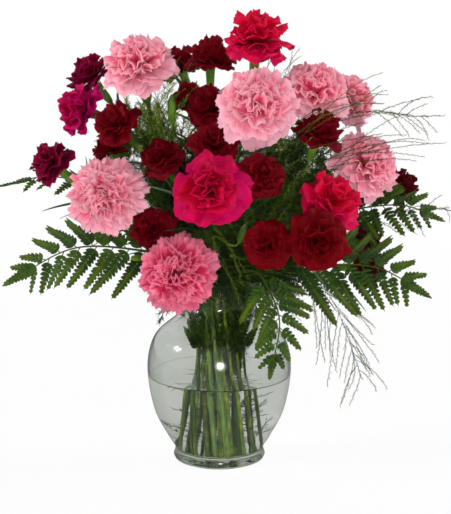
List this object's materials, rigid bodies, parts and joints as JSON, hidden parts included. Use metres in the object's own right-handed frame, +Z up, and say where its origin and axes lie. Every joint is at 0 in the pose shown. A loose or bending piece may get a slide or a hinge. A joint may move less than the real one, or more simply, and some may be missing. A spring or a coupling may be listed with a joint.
{
  "type": "vase of carnations",
  "caption": "Bouquet of ruffled pink, magenta and dark red carnations with leatherleaf fern and feathery asparagus fern in a clear waisted glass vase of water",
  "frame": {"origin": "centre of the underside of the vase's foot, on the table", "axes": "+Z up, -Y towards the viewer of the arrangement's front, +X to that viewer's right"},
  "size_m": [0.4492, 0.3083, 0.4539],
  "materials": {
    "vase_glass": "clear, polished",
    "water": "clear",
    "stem_green": "satin, with a thin bloom of wax",
    "fern_green": "leathery, glossy",
    "asparagus_green": "satin",
    "petal_pink": "matte, soft",
    "petal_magenta": "matte, soft",
    "petal_dark_red": "matte, velvety",
    "petal_red": "matte, velvety"
  },
  "bodies": {
    "root": {"asparagus_back": "asparagus_green", "asparagus_far_right": "asparagus_green", "asparagus_left": "asparagus_green", "asparagus_low_right": "asparagus_green", "asparagus_right": "asparagus_green", "dark_1": "petal_dark_red", "dark_10": "petal_dark_red", "dark_11": "petal_dark_red", "dark_12": "petal_dark_red", "dark_13": "petal_dark_red", "dark_14": "petal_dark_red", "dark_15": "petal_dark_red", "dark_16": "petal_dark_red", "dark_2": "petal_dark_red", "dark_3": "petal_dark_red", "dark_4": "petal_dark_red", "dark_5": "petal_dark_red", "dark_6": "petal_dark_red", "dark_7": "petal_dark_red", "dark_8": "petal_dark_red", "dark_9": "petal_dark_red", "fern_back": "fern_green", "fern_front": "fern_green", "fern_left": "fern_green", "fern_right": "fern_green", "fern_upper_left": "fern_green", "fern_upper_right": "fern_green", "magenta_1": "petal_magenta", "magenta_2": "petal_magenta", "magenta_3": "petal_magenta", "magenta_4": "petal_magenta", "magenta_stem_front": "stem_green", "magenta_stem_left": "stem_green", "magenta_stem_top": "stem_green", "pink_1": "petal_pink", "pink_2": "petal_pink", "pink_3": "petal_pink", "pink_4": "petal_pink", "pink_5": "petal_pink", "pink_6": "petal_pink", "pink_7": "petal_pink", "pink_stem_1": "stem_green", "pink_stem_2": "stem_green", "pink_stem_3": "stem_green", "pink_stem_4": "stem_green", "pink_stem_5": "stem_green", "pink_stem_6": "stem_green", "pink_stem_7": "stem_green", "red_1": "petal_red", "red_2": "petal_red", "spray_front": "stem_green", "spray_front_right": "stem_green", "spray_left": "stem_green", "spray_low_right": "stem_green", "spray_middle": "stem_green", "spray_right": "stem_green", "spray_top": "stem_green", "spray_upper_left": "stem_green", "vase": "vase_glass", "water": "water"}
  },
  "joints": []
}
